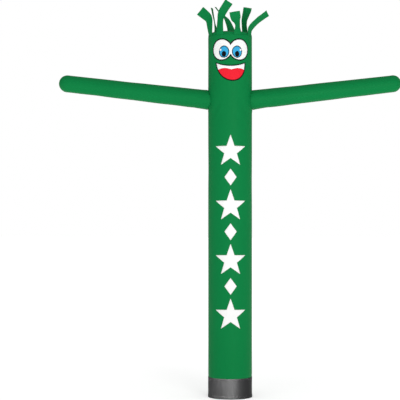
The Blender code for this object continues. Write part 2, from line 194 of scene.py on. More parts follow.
def cloth_material(name, colour, roughness, ripstop=0.005, weave=0.0007, relief=0.0002, crumple=0.0004,
                   specular=0.05, change=0.05):
    """Woven nylon: a fine weave, stronger ripstop threads, faint crumpling, and a colour that drifts a little."""
    made = bpy.data.materials.new(name)
    made.use_nodes = True
    tree = made.node_tree
    shader = tree.nodes["Principled BSDF"]
    shader.inputs["Specular IOR Level"].default_value = specular

    flat_cloth = node(tree, "ShaderNodeUVMap", {"uv_map": "cloth"}).outputs["UV"]
    across = node(tree, "ShaderNodeSeparateXYZ", Vector=flat_cloth)
    u, v = across.outputs["X"], across.outputs["Y"]
    in_space = node(tree, "ShaderNodeTexCoord").outputs["Object"]

    ripstop_u, ripstop_v = (thread_lines(tree, c, ripstop, 0.10) for c in (u, v))
    grid = math_node(tree, "MAXIMUM", ripstop_u, ripstop_v)
    warp, weft = (thread_lines(tree, c, weave, 0.5) for c in (u, v))
    threads = math_node(tree, "MULTIPLY", warp, weft)
    drift = node(tree, "ShaderNodeTexNoise", Vector=in_space, Scale=2.6, Detail=4.0, Roughness=0.55)
    crumpling = node(tree, "ShaderNodeTexNoise", Vector=in_space, Scale=17.0, Detail=5.0, Roughness=0.6)

    darker = tuple(c * (1 - change) for c in colour)
    lighter = tuple(min(1, c * (1 + change)) for c in colour)
    shade = node(
        tree, "ShaderNodeMix", {"data_type": "RGBA"},
        Factor=drift.outputs["Fac"], i6=(*darker, 1), i7=(*lighter, 1),
    ).outputs[2]
    on_lines = tuple(c * 0.90 for c in colour)
    lined = node(
        tree, "ShaderNodeMix", {"data_type": "RGBA"},
        Factor=math_node(tree, "MULTIPLY", grid, 0.5), i6=shade, i7=(*on_lines, 1),
    ).outputs[2]
    tree.links.new(lined, shader.inputs["Base Color"])
    rough = node(
        tree, "ShaderNodeMapRange",
        Value=crumpling.outputs["Fac"], To_Min=roughness - 0.06, To_Max=roughness + 0.06,
    )
    tree.links.new(rough.outputs["Result"], shader.inputs["Roughness"])

    raised = math_node(tree, "ADD", math_node(tree, "MULTIPLY", threads, 0.35), grid)
    woven = node(tree, "ShaderNodeBump", Strength=0.5, Distance=relief, Height=raised)
    soft = node(
        tree, "ShaderNodeBump",
        Strength=0.5, Distance=crumple * 10, Height=crumpling.outputs["Fac"], Normal=woven.outputs["Normal"],
    )
    tree.links.new(soft.outputs["Normal"], shader.inputs["Normal"])
    return made


def thread_material(name, colour):
    """Twisted sewing thread: a fine speckle in its colour, roughness and relief."""
    made = bpy.data.materials.new(name)
    made.use_nodes = True
    tree = made.node_tree
    shader = tree.nodes["Principled BSDF"]
    shader.inputs["Specular IOR Level"].default_value = 0.05
    in_space = node(tree, "ShaderNodeTexCoord").outputs["Object"]
    twist = node(
        tree, "ShaderNodeTexNoise", Vector=in_space, Scale=900.0, Detail=2.0, Roughness=0.5,
    ).outputs["Fac"]
    darker, lighter = (tuple(min(1, c * k) for c in colour) for k in (0.8, 1.15))
    shade = node(tree, "ShaderNodeMix", {"data_type": "RGBA"}, Factor=twist, i6=(*darker, 1), i7=(*lighter, 1))
    tree.links.new(shade.outputs[2], shader.inputs["Base Color"])
    rough = node(tree, "ShaderNodeMapRange", Value=twist, To_Min=0.5, To_Max=0.7)
    tree.links.new(rough.outputs["Result"], shader.inputs["Roughness"])
    lump = node(tree, "ShaderNodeBump", Strength=0.4, Distance=0.0002, Height=twist)
    tree.links.new(lump.outputs["Normal"], shader.inputs["Normal"])
    return made


GREEN = (0.0020, 0.1780, 0.0450)
BLACK = (0.005, 0.005, 0.006)
WHITE = (0.820, 0.820, 0.812)
FINISHES = {
    "green_cloth": cloth_material("green_ripstop", GREEN, 0.52),
    "sleeve_cloth": cloth_material(
        "black_oxford", (0.0018, 0.0018, 0.0019), 0.50, ripstop=0.0024, weave=0.0012, relief=0.0003,
        crumple=0.0003, specular=0.09, change=0.10,
    ),
    "black_cloth": cloth_material("black_nylon", BLACK, 0.60, change=0.15, specular=0.04),
    "white_cloth": cloth_material("white_nylon", WHITE, 0.55, change=0.02),
    "blue_cloth": cloth_material("blue_nylon", (0.040, 0.360, 0.640), 0.55),
    "red_cloth": cloth_material("red_nylon", (0.760, 0.016, 0.031), 0.55),
}
THREADS = {
    "green_cloth": thread_material("green_thread", (0.004, 0.16, 0.045)),
    "sleeve_cloth": thread_material("sleeve_thread", (0.030, 0.030, 0.032)),
    "black_cloth": thread_material("black_thread", (0.008, 0.008, 0.009)),
    "white_cloth": thread_material("white_thread", (0.76, 0.76, 0.75)),
    "blue_cloth": thread_material("blue_thread", (0.035, 0.32, 0.58)),
    "red_cloth": thread_material("red_thread", (0.75, 0.016, 0.030)),
}


# Meshes

def add_piece(name, points, faces, slot, uvs=None, finish=None):
    """A piece in its place, riding on the body. The uvs are each face's corners on the flat cloth, in metres."""
    mesh = bpy.data.meshes.new(name)
    mesh.from_pydata([tuple(map(float, p)) for p in points], [], [tuple(map(int, f)) for f in faces])
    if uvs is not None:
        layer = mesh.uv_layers.new(name="cloth")
        layer.data.foreach_set("uv", [float(c) for corners in uvs for corner in corners for c in corner])
    mesh.shade_smooth()
    mesh.materials.append(finish or FINISHES[slot])
    obj = bpy.data.objects.new(name, mesh)
    bpy.context.scene.collection.objects.link(obj)
    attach(obj, BODY)
    return obj


def thicken(obj, thickness=CLOTH, offset=-1):
    """Gives a sheet its thickness, all of it behind the sheet."""
    solidify = obj.modifiers.new("Cloth thickness", "SOLIDIFY")
    solidify.thickness = thickness
    solidify.offset = offset
    solidify.use_even_offset = False
    return obj


def grid_faces(rows, columns, wrap, flip=False, skip=None):
    """Quads over points that are numbered row by row, and the (row, column) of each of their corners."""
    faces, corners = [], []
    for i in range(rows - 1):
        for j in range(columns if wrap else columns - 1):
            if skip and skip(i, j):
                continue
            quad = [(i, j), (i, j + 1), (i + 1, j + 1), (i + 1, j)]
            if flip:
                quad.reverse()
            corners.append(quad)
            faces.append([a * columns + b % columns for a, b in quad])
    return faces, corners


def used_only(points, faces, *others):
    """Drops the points that no face uses, from these points and from others that match them."""
    used = sorted({k for face in faces for k in face})
    new = {old: k for k, old in enumerate(used)}
    faces = [[new[k] for k in face] for face in faces]
    return faces, used, [np.asarray(p)[used] for p in (points, *others)]


class Surface:
    """A grid of points on the cloth, which can be read anywhere between them, a little above the cloth."""

    def __init__(self, grid, wrap=True, outward=1):
        self.grid = np.asarray(grid, float)
        self.wrap = wrap
        if wrap:
            across = np.roll(self.grid, -1, 1) - np.roll(self.grid, 1, 1)
        else:
            across = np.gradient(self.grid, axis=1)
        along = np.gradient(self.grid, axis=0)
        normals = np.cross(across, along) * outward
        self.normals = normals / np.maximum(np.linalg.norm(normals, axis=2, keepdims=True), 1e-12)

    def at(self, rows, columns, lift=0.0):
        """Points and outward directions at fractional rows and columns."""
        rows = np.clip(np.asarray(rows, float), 0, self.grid.shape[0] - 1)
        columns = np.asarray(columns, float)
        count = self.grid.shape[1]
        if not self.wrap:
            columns = np.clip(columns, 0, count - 1)
        i = np.minimum(np.floor(rows).astype(int), self.grid.shape[0] - 2)
        j = np.floor(columns).astype(int)
        if not self.wrap:
            j = np.minimum(j, count - 2)
        a, b = (rows - i)[..., None], (columns - j)[..., None]
        j, k = j % count, (j + 1) % count
        found = []
        for field in (self.grid, self.normals):
            low = field[i, j] * (1 - b) + field[i, k] * b
            high = field[i + 1, j] * (1 - b) + field[i + 1, k] * b
            found.append(low * (1 - a) + high * a)
        points, normals = found
        normals = normals / np.linalg.norm(normals, axis=-1, keepdims=True)
        return points + normals * lift, normals


# Filled cloth

def folds(angles, distance, counts, seed):
    """Uneven small folds that run away from a sewn edge: none at the stitches, and short ones die out first."""
    draw = np.random.default_rng(seed)
    angles, distance = np.broadcast_arrays(angles, distance)
    total = np.zeros(angles.shape)
    for count in counts:
        size, start = draw.uniform(0.5, 1.0), draw.uniform(0, 2 * math.pi)
        total += size * np.cos(count * angles + start) * np.exp(-count * distance / 0.75)
    held = 1 - np.exp(-distance / 0.006)
    return total * held / math.sqrt(len(counts))


def inflate(start, cut, faces, sewn, frames, cap):
    """Fills a sheet with air by cloth simulation. Its sewn edges stay, and no point moves further than the cap."""
    scene = bpy.context.scene
    mesh = bpy.data.meshes.new("inflating")
    mesh.from_pydata([tuple(map(float, p)) for p in start], [], [tuple(map(int, f)) for f in faces])
    obj = bpy.data.objects.new("inflating", mesh)
    scene.collection.objects.link(obj)
    obj.shape_key_add(name="Basis")
    key = obj.shape_key_add(name="cut")
    key.data.foreach_set("co", np.asarray(cut, np.float32).ravel())
    key.value = 0
    group = obj.vertex_groups.new(name="sewn")
    group.add([int(k) for k in sewn], 1.0, "REPLACE")
    cloth = obj.modifiers.new("Cloth", "CLOTH")
    settings = cloth.settings
    settings.quality = 5
    settings.mass = 0.01
    settings.tension_stiffness = settings.compression_stiffness = 40
    settings.shear_stiffness = 13
    settings.bending_stiffness = 0.2
    settings.tension_damping = settings.compression_damping = settings.shear_damping = 5
    settings.bending_damping = 0.5
    settings.air_damping = 2
    settings.vertex_group_mass = "sewn"
    settings.rest_shape_key = key
    settings.use_pressure = True
    settings.uniform_pressure_force = 80
    settings.effector_weights.gravity = 0
    cloth.collision_settings.use_collision = False
    cloth.point_cache.frame_start, cloth.point_cache.frame_end = 1, frames
    for step in range(1, frames + 1):
        scene.frame_set(step)
    filled = obj.evaluated_get(bpy.context.evaluated_depsgraph_get()).to_mesh()
    result = np.zeros(len(start) * 3, np.float32)
    filled.vertices.foreach_get("co", result)
    bpy.data.objects.remove(obj)
    scene.frame_set(1)
    start = np.asarray(start, float)
    moved = result.reshape(-1, 3) - start
    length = np.linalg.norm(moved, axis=1, keepdims=True)
    return start + moved * np.minimum(1, cap / np.maximum(length, 1e-9))


def on_tube(s, z, radius):
    """Points of the flat cloth laid round the tube at a radius."""
    angle = np.asarray(s, float) / RADIUS
    return np.stack([radius * np.sin(angle), -radius * np.cos(angle), z + 0 * angle], -1)


def spaced(start, end):
    """Heights from start to end, closer together near the end, where the cloth is sewn."""
    length, marks = abs(end - start), [0.0]
    while marks[-1] < length:
        marks.append(marks[-1] + min(ROW, FINE_ROW + 0.12 * (length - marks[-1])))
    return start + (end - start) * np.array(marks) / marks[-1]


def shoulder_seam(angle):
    """Where an arm's skin meets the tube, on the right, at an angle round the arm."""
    y = SHOULDER_RADIUS * math.cos(angle)
    x = math.sqrt(RADIUS**2 - y * y)
    rise = SHOULDER_RADIUS * math.sin(angle)
    along = (x + rise * math.sin(ARM_LIFT)) / math.cos(ARM_LIFT)
    z = ARM_CROSSING_Z + along * math.sin(ARM_LIFT) + rise * math.cos(ARM_LIFT)
    return along, (x, y, z)


SHOULDER_Z = ARM_CROSSING_Z + RADIUS * math.tan(ARM_LIFT)
BLOCK_LOW_Z = SHOULDER_Z - BLOCK_ROWS / 2 * ROW
BLOCK_TOP_Z = SHOULDER_Z + BLOCK_ROWS / 2 * ROW
LEVELS = np.concatenate([
    spaced(BLOCK_LOW_Z, FOOT_Z)[:0:-1],
    np.linspace(BLOCK_LOW_Z, BLOCK_TOP_Z, BLOCK_ROWS + 1),
    spaced(BLOCK_TOP_Z, SEAM_Z)[1:],
])
BLOCK_ROW = int(np.argmin(abs(LEVELS - BLOCK_LOW_Z)))


def block_edge():
    """(row, column offset from the arm) once round the block, from the back's middle and up first."""
    half_c, half_r = BLOCK_COLUMNS // 2, BLOCK_ROWS // 2
    edge = [(r, half_c) for r in range(half_r)]
    edge += [(half_r, c) for c in range(half_c, -half_c, -1)]
    edge += [(r, -half_c) for r in range(half_r, -half_r, -1)]
    edge += [(-half_r, c) for c in range(-half_c, half_c)]
    edge += [(r, half_c) for r in range(-half_r, 0)]
    return [(BLOCK_ROW + half_r + r, c) for r, c in edge]


def make_tube():
    """The filled tube. Its columns start at the back, and a ring of finer cloth surrounds each arm."""
    rows = len(LEVELS)
    angle = np.arange(COLUMNS) * 2 * math.pi / COLUMNS - math.pi
    from_top, from_foot = SEAM_Z - LEVELS, np.maximum(LEVELS - SLEEVE_TOP_Z, 0)
    s = np.tile(angle * RADIUS, (rows, 1))
    z = np.tile(LEVELS[:, None], (1, COLUMNS))
    drawn = SEAM_DRAWN_IN * (np.exp(-from_top / 0.02) + np.exp(-from_foot / 0.02))[:, None]
    folded = folds(angle[None, :], from_top[:, None], (5, 8, 11, 14, 17, 20, 23, 27), 3)
    folded += 0.7 * folds(angle[None, :], from_foot[:, None], (5, 7, 10, 13, 16, 19, 23), 4)

    def shaped(depth, slack):
        radius = RADIUS * (1 + slack) - drawn + depth * folded
        return on_tube(s, z, radius).reshape(-1, 3)

    start, cut = list(shaped(0.0066, -0.005)), list(shaped(0.0130, 0.0))
    block = range(BLOCK_ROW, BLOCK_ROW + BLOCK_ROWS)
    quarter = COLUMNS // 4
    arm_column = {1: COLUMNS // 2 + quarter, -1: COLUMNS // 2 - quarter}

    def in_block(i, j):
        return i in block and any(abs(j + 0.5 - c) < BLOCK_COLUMNS / 2 for c in arm_column.values())

    faces, corners = grid_faces(rows, COLUMNS, wrap=True, skip=in_block)
    uvs = [[(angle[0] * RADIUS + b * 2 * math.pi * RADIUS / COLUMNS, LEVELS[a]) for a, b in quad]
           for quad in corners]
    sewn = [i * COLUMNS + j for i in range(rows) for j in range(COLUMNS)
            if LEVELS[i] <= SLEEVE_TOP_Z + 0.001 or i == rows - 1]

    edge = block_edge()
    turns = [2 * math.pi * k / ARM_COLUMNS for k in range(ARM_COLUMNS)]
    for side in (1, -1):
        flat = []
        for turn in turns:
            x, y, height = shoulder_seam(turn)[1]
            flat.append((math.atan2(x, -y) * RADIUS, height))
        inner = np.array(flat)
        outer = np.array([
            ((math.pi / 2 + c * 2 * math.pi / COLUMNS) * RADIUS, LEVELS[r]) for r, c in edge
        ])
        previous = None
        previous_flat = None
        for ring in range(SHOULDER_RINGS + 1):
            share = ring / SHOULDER_RINGS
            share = 0.45 * share + 0.55 * share * share
            here = inner + (outer - inner) * share
            if ring == SHOULDER_RINGS:
                ids = [r * COLUMNS + (arm_column[side] + side * c) % COLUMNS for r, c in edge]
            else:
                ids = list(range(len(start), len(start) + ARM_COLUMNS))
                away = np.linalg.norm(here - inner, axis=1)
                wave = folds(np.array(turns), away, (4, 6, 9, 12, 15, 18), 11 + side)
                fade = 1 - share**2
                for points, depth, slack in ((start, 0.0056, -0.005), (cut, 0.0115, 0.0)):
                    pulled = slack * RADIUS * (1 - math.exp(-ring / 2))
                    laid = on_tube(here[:, 0], here[:, 1], RADIUS + pulled + depth * wave * fade)
                    laid[:, 0] *= side
                    points.extend(laid)
                if ring == 0:
                    sewn += ids
            if previous is not None:
                for k in range(ARM_COLUMNS):
                    m = (k + 1) % ARM_COLUMNS
                    quad = [previous[k], ids[k], ids[m], previous[m]]
                    spots = [previous_flat[k], here[k], here[m], previous_flat[m]]
                    if side < 0:
                        quad.reverse()
                        spots.reverse()
                    faces.append(quad)
                    uvs.append([(side * a, b) for a, b in spots])
            previous, previous_flat = ids, here
    faces, used, (start, cut) = used_only(start, faces, cut)
    renumbered = {old: k for k, old in enumerate(used)}
    sewn = [renumbered[k] for k in sewn if k in renumbered]
    filled = inflate(start, cut, faces, sewn, frames=18, cap=0.006)
    filled = slacken(filled, sewn)
    grid = on_tube(s, z, RADIUS)
    for old, k in renumbered.items():
        if old < rows * COLUMNS:
            grid[old // COLUMNS, old % COLUMNS] = filled[k]
    tube = thicken(add_piece("tube_cloth", filled, faces, "green_cloth", uvs))
    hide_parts("tube")
    return tube, Surface(grid)


# Long shallow dents where filled cloth lies a little slack, placed on the tube: where each is, in
# degrees round it and in metres up it, its slant from upright in degrees, its length, width and depth.
DENTS = (
    (-38, 3.02, 32, 0.22, 0.030, 0.0037),
    (-28, 2.93, 40, 0.16, 0.024, 0.0026),
    (40, 3.00, -30, 0.24, 0.032, 0.0041),
    (26, 2.88, -44, 0.15, 0.024, 0.0022),
    (-52, 3.26, -36, 0.12, 0.022, 0.0024),
    (50, 3.27, 34, 0.13, 0.024, 0.0026),
    (-140, 3.03, -30, 0.24, 0.032, 0.0041),
    (142, 3.01, 34, 0.22, 0.030, 0.0037),
    (12, 2.20, 10, 0.34, 0.040, 0.0024),
    (-30, 1.62, -8, 0.40, 0.045, 0.0026),
    (46, 1.18, 9, 0.36, 0.042, 0.0026),
    (-64, 0.86, -12, 0.32, 0.036, 0.0027),
    (22, 0.44, 14, 0.22, 0.030, 0.0027),
    (-20, 0.38, -10, 0.20, 0.026, 0.0026),
    (80, 2.30, -8, 0.40, 0.045, 0.0024),
    (-84, 2.46, 10, 0.38, 0.042, 0.0026),
    (118, 1.74, 9, 0.42, 0.044, 0.0027),
    (-126, 1.34, -9, 0.40, 0.042, 0.0026),
    (150, 0.72, 12, 0.30, 0.036, 0.0031),
    (-160, 2.52, -8, 0.36, 0.040, 0.0026),
    (170, 2.08, 8, 0.36, 0.040, 0.0024),
    (-102, 0.48, 10, 0.24, 0.030, 0.0029),
    (100, 0.40, -12, 0.22, 0.028, 0.0027),
)


def slacken(points, sewn):
    """Presses the shallow dents into the tube, away from its sewn edges."""
    points = np.array(points, float)
    angle = np.arctan2(points[:, 0], -points[:, 1])
    depth = np.zeros(len(points))
    for degrees, height, slant, length, width, dent in DENTS:
        turn = (angle - math.radians(degrees) + math.pi) % (2 * math.pi) - math.pi
        across, up = turn * RADIUS, points[:, 2] - height
        lean = math.radians(slant)
        along = up * math.cos(lean) + across * math.sin(lean)
        beside = across * math.cos(lean) - up * math.sin(lean)
        depth += dent * np.exp(-((along / (length / 2)) ** 2) - (beside / width) ** 2)
    depth[list(sewn)] = 0
    near_edge = np.minimum(SEAM_Z - points[:, 2], np.maximum(points[:, 2] - SLEEVE_TOP_Z, 0))
    depth *= 1 - np.exp(-near_edge / 0.03)
    outward = np.stack([np.sin(angle), -np.cos(angle), 0 * angle], -1)
    return points - outward * depth[:, None]


def make_crown():
    """The disc sewn to the tube's top edge, domed by the air, with small folds where its edge is eased in."""
    edge_turn = math.radians(85)
    profile = [(RADIUS - SEAM_DRAWN_IN, SEAM_Z)]
    profile += [(RADIUS - SEAM_DRAWN_IN * (1 - share), SEAM_Z + CROWN_HEM * share) for share in (0.5, 1.0)]
    for step in range(1, 9):
        turn = edge_turn * step / 8
        profile.append((
            RADIUS - CROWN_CORNER * (1 - math.cos(turn)), SEAM_Z + CROWN_HEM + CROWN_CORNER * math.sin(turn)
        ))
    edge_r, edge_z = profile[-1]
    rise = CROWN_TOP_Z - edge_z - 0.0002
    shares = np.linspace(1, 0, 16)[1:-1]
    profile += [(edge_r * share, edge_z + rise * (1 - share * share)) for share in shares]
    radii, heights = np.array(profile).T
    steps = np.hypot(np.diff(radii), np.diff(heights))
    distance = np.concatenate([[0], np.cumsum(steps)])
    angle = np.arange(COLUMNS) * 2 * math.pi / COLUMNS - math.pi
    wave = folds(angle[None, :], distance[:, None], (6, 9, 13, 17, 21, 24, 28), 5)
    across = np.gradient(heights, distance)[:, None]
    upward = -np.gradient(radii, distance)[:, None]

    def shaped(depth):
        radius = radii[:, None] + depth * wave * across
        points = np.stack([
            radius * np.sin(angle), -radius * np.cos(angle), heights[:, None] + depth * wave * upward
        ], -1)
        return np.vstack([points.reshape(-1, 3), [(0, 0, edge_z + rise)]])

    rows = len(profile)
    faces, corners = grid_faces(rows, COLUMNS, wrap=True)
    flat_radius = distance[-1] + radii[-1]

    def flat(row, column):
        turn = 2 * math.pi * column / COLUMNS
        reach = flat_radius - (distance[row] if row < rows else flat_radius)
        return reach * math.sin(turn), reach * math.cos(turn)

    uvs = [[flat(a, b) for a, b in quad] for quad in corners]
    for j in range(COLUMNS):
        faces.append([(rows - 1) * COLUMNS + j, (rows - 1) * COLUMNS + (j + 1) % COLUMNS, rows * COLUMNS])
        uvs.append([flat(rows - 1, j), flat(rows - 1, j + 1), flat(rows, 0)])
    filled = inflate(shaped(0.0034), shaped(0.0060), faces, range(COLUMNS), frames=14, cap=0.003)
    crown = thicken(add_piece("crown_cloth", filled, faces, "green_cloth", uvs))
    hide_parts("crown")
    return crown


def arm_point(along, radius, angle):
    """A point of the right arm's skin: along its axis, and at a radius and angle round it."""
    x = along * math.cos(ARM_LIFT) - radius * math.sin(angle) * math.sin(ARM_LIFT)
    z = along * math.sin(ARM_LIFT) + radius * math.sin(angle) * math.cos(ARM_LIFT)
    return x, radius * math.cos(angle), ARM_CROSSING_Z + z


# Long shallow dents on an arm: how far out each is, its place round the arm in degrees, its slant, length,
# width and depth.
ARM_DENTS = (
    (0.34, 250, 24, 0.14, 0.024, 0.0035),
    (0.36, 300, -24, 0.14, 0.024, 0.0032),
    (0.42, 200, 12, 0.20, 0.028, 0.0026),
    (0.62, 275, -8, 0.26, 0.030, 0.0029),
    (0.80, 230, 9, 0.26, 0.030, 0.0022),
    (0.98, 300, -7, 0.28, 0.030, 0.0026),
    (1.20, 250, 8, 0.26, 0.028, 0.0024),
    (1.42, 285, -9, 0.24, 0.026, 0.0024),
    (0.70, 80, 8, 0.28, 0.030, 0.0022),
    (1.10, 110, -8, 0.30, 0.030, 0.0022),
    (0.52, 20, 10, 0.24, 0.028, 0.0022),
    (1.30, 160, 8, 0.26, 0.028, 0.0022),
)


def make_arm(name, side, seed):
    """A filled arm: gathered into the shoulder seam, tapering, with eased cloth round its closed end."""
    turns = np.arange(ARM_COLUMNS) * 2 * math.pi / ARM_COLUMNS
    tip_start = ARM_REACH - TIP_RADIUS
    straight_from = 0.315
    seams = np.array([shoulder_seam(turn)[0] for turn in turns])
    sections = []
    for share in np.linspace(0, 1, 9)[:-1] ** 1.3:
        sections.append((seams + (straight_from - seams) * share, None))
    for along in np.linspace(straight_from, tip_start, int((tip_start - straight_from) / ROW) + 1):
        sections.append((np.full(ARM_COLUMNS, along), None))
    for turn in np.linspace(0, math.pi / 2, 13)[1:-1]:
        sections.append((np.full(ARM_COLUMNS, tip_start + TIP_RADIUS * math.sin(turn)), math.cos(turn)))
    rows = len(sections)
    near_tip = (6, 9, 12, 16, 20)

    def shaped(depth, slack):
        points = []
        for alongs, narrowing in sections:
            taper = np.clip((alongs - RADIUS) / (tip_start - RADIUS), 0, 1)
            radius = SHOULDER_RADIUS + taper * (TIP_RADIUS - SHOULDER_RADIUS)
            from_seam = alongs - seams
            radius = radius * (1 + slack * (1 - np.exp(-from_seam / 0.03)))
            radius = radius + depth * folds(turns, from_seam, (4, 6, 9, 12, 15, 18), 11 + side)
            if narrowing is None:
                to_tip = tip_start - alongs + 0.015
                radius = radius + 0.45 * depth * folds(turns, to_tip, near_tip, seed)
            else:
                wave = folds(turns, np.full(ARM_COLUMNS, 0.015), near_tip, seed)
                radius = narrowing * (radius + 0.45 * depth * wave)
            points += [arm_point(a, r, t) for a, r, t in zip(alongs, radius, turns)]
        points.append(arm_point(ARM_REACH, 0, 0))
        return np.array(points) * (side, 1, 1)

    faces, corners = grid_faces(rows, ARM_COLUMNS, wrap=True, flip=side < 0)
    lengths = np.array([np.mean(alongs) for alongs, _ in sections])
    uvs = [[(b * 2 * math.pi * TIP_RADIUS / ARM_COLUMNS, lengths[a]) for a, b in quad] for quad in corners]
    last, pole = (rows - 1) * ARM_COLUMNS, rows * ARM_COLUMNS
    for j in range(ARM_COLUMNS):
        fan = [last + j, last + (j + 1) % ARM_COLUMNS, pole]
        spots = [(j * 0.0057, lengths[-1]), ((j + 1) * 0.0057, lengths[-1]), ((j + 0.5) * 0.0057, ARM_REACH)]
        if side < 0:
            fan.reverse()
            spots.reverse()
        faces.append(fan)
        uvs.append(spots)
    filled = inflate(shaped(0.0052, -0.007), shaped(0.0105, 0), faces, range(ARM_COLUMNS), frames=14, cap=0.005)

    depth = np.zeros(len(filled))
    alongs = np.append(np.concatenate([a for a, _ in sections]), ARM_REACH)
    around = np.append(np.tile(turns, rows), 0)
    for out, degrees, slant, length, width, dent in ARM_DENTS:
        turn = (around - math.radians(degrees + 15 * side) + math.pi) % (2 * math.pi) - math.pi
        beside, ahead = turn * TIP_RADIUS, alongs - out - 0.02 * side
        lean = math.radians(slant)
        one = ahead * math.cos(lean) + beside * math.sin(lean)
        other = beside * math.cos(lean) - ahead * math.sin(lean)
        depth += dent * np.exp(-((one / (length / 2)) ** 2) - (other / width) ** 2)
    from_seam = np.append(np.concatenate([a - seams for a, _ in sections]), ARM_REACH)
    depth *= 1 - np.exp(-from_seam / 0.03)
    centre = np.stack([
        side * alongs * math.cos(ARM_LIFT), 0 * alongs, ARM_CROSSING_Z + alongs * math.sin(ARM_LIFT)
    ], -1)
    spoke = filled - centre
    reach = np.maximum(np.linalg.norm(spoke, axis=1, keepdims=True), 1e-6)
    filled = filled - spoke / reach * depth[:, None] * np.minimum(1, reach / 0.04)

    arm = thicken(add_piece(name + "_cloth", filled, faces, "green_cloth", uvs))
    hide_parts(name)
    surface = Surface(filled[:-1].reshape(rows, ARM_COLUMNS, 3), outward=side)
    return arm, surface


def make_sleeve():
    """The stiff sleeve: one thick cloth with a folded hem round its mouth, which stands flat on the ground."""
    wall, fold = 0.0013, 0.0035
    outer = SLEEVE_INNER + wall
    section = [(SLEEVE_INNER, 0.0), (SLEEVE_INNER + fold - 0.0006, 0.0), (SLEEVE_INNER + fold, 0.0012)]
    section += [(SLEEVE_INNER + fold, z) for z in np.linspace(0.004, HEM_HEIGHT - 0.002, 5)]
    section += [(SLEEVE_INNER + fold - 0.0007, HEM_HEIGHT - 0.0004), (outer + 0.0004, HEM_HEIGHT)]
    section += [(outer, z) for z in np.linspace(HEM_HEIGHT + 0.0012, SLEEVE_TOP_Z - 0.001, 26)]
    section += [(outer - 0.0005, SLEEVE_TOP_Z), (SLEEVE_INNER, SLEEVE_TOP_Z)]
    section += [(SLEEVE_INNER, z) for z in np.linspace(SLEEVE_TOP_Z, 0, 12)[1:-1]]
    radii, heights = np.array(section).T
    angle = np.arange(COLUMNS) * 2 * math.pi / COLUMNS - math.pi
    free = np.sin(math.pi * np.clip(heights / SLEEVE_TOP_Z, 0, 1))[:, None]
    wave = 0.55 * np.cos(3 * angle + 0.6) + 0.45 * np.cos(5 * angle + 2.1) + 0.30 * np.cos(8 * angle + 4.0)
    tilt = np.cos(angle + 9 * heights[:, None])
    radius = radii[:, None] + 0.0009 * free * (wave[None, :] + 0.6 * tilt)
    rows = len(section)
    grid = np.stack([
        radius * np.sin(angle), -radius * np.cos(angle), np.broadcast_to(heights[:, None], radius.shape)
    ], -1)
    grid = np.concatenate([grid, grid[:1]])
    faces, corners = grid_faces(rows + 1, COLUMNS, wrap=True)
    faces = [[k % (rows * COLUMNS) for k in face] for face in faces]
    lengths = np.concatenate([[0], np.cumsum(np.hypot(np.diff(radii), np.diff(heights)))])
    lengths = np.append(lengths, lengths[-1] + 0.02)
    uvs = [[(b * 2 * math.pi * RADIUS / COLUMNS, lengths[a]) for a, b in quad] for quad in corners]
    sleeve = add_piece("sleeve_cloth_piece", grid[:-1].reshape(-1, 3), faces, "sleeve_cloth", uvs)
    sleeve.data.set_sharp_from_angle(angle=math.radians(50))
    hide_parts("sleeve")
    first = 8
    outer_rows = range(first, first + 28)
    return sleeve, Surface(grid[list(outer_rows)]), heights[list(outer_rows)]


def table_slope(rows, k, column):
    """How steeply a column of a strip's table runs through its row k: level at both ends."""
    if k in (0, len(rows) - 1):
        return 0.0
    return (rows[k + 1][column] - rows[k - 1][column]) / (rows[k + 1][0] - rows[k - 1][0])


def table_value(rows, share, column):
    """A column of a strip's table at any share of its length, on a smooth curve through its rows."""
    k = next(k for k in range(len(rows) - 1) if share <= rows[k + 1][0])
    low, high = rows[k], rows[k + 1]
    step = high[0] - low[0]
    part = (share - low[0]) / step
    eased = part * part * (3 - 2 * part)
    leaving = table_slope(rows, k, column) * step * part * (1 - part) ** 2
    arriving = table_slope(rows, k + 1, column) * step * part * part * (1 - part)
    return low[column] + (high[column] - low[column]) * eased + leaving - arriving


def lay_root(grid, tube):
    """Moves a strip's root out onto the folds of the tube, and eases that away above the seam."""
    push = np.zeros(grid.shape[1])
    for points in grid:
        radius = np.hypot(points[:, 0], points[:, 1])
        height = points[:, 2]
        if height.max() < SEAM_Z + 0.001:
            s = np.arctan2(points[:, 0], -points[:, 1]) * RADIUS
            beneath, _ = tube.at(*tube_place(s, np.minimum(height, SEAM_Z)))
            push = np.maximum(np.hypot(beneath[:, 0], beneath[:, 1]) + 0.0012 - radius, 0)
        fade = np.clip(1 - (height - SEAM_Z) / 0.03, 0, 1)
        points[:, :2] *= (1 + push * fade / radius)[:, None]


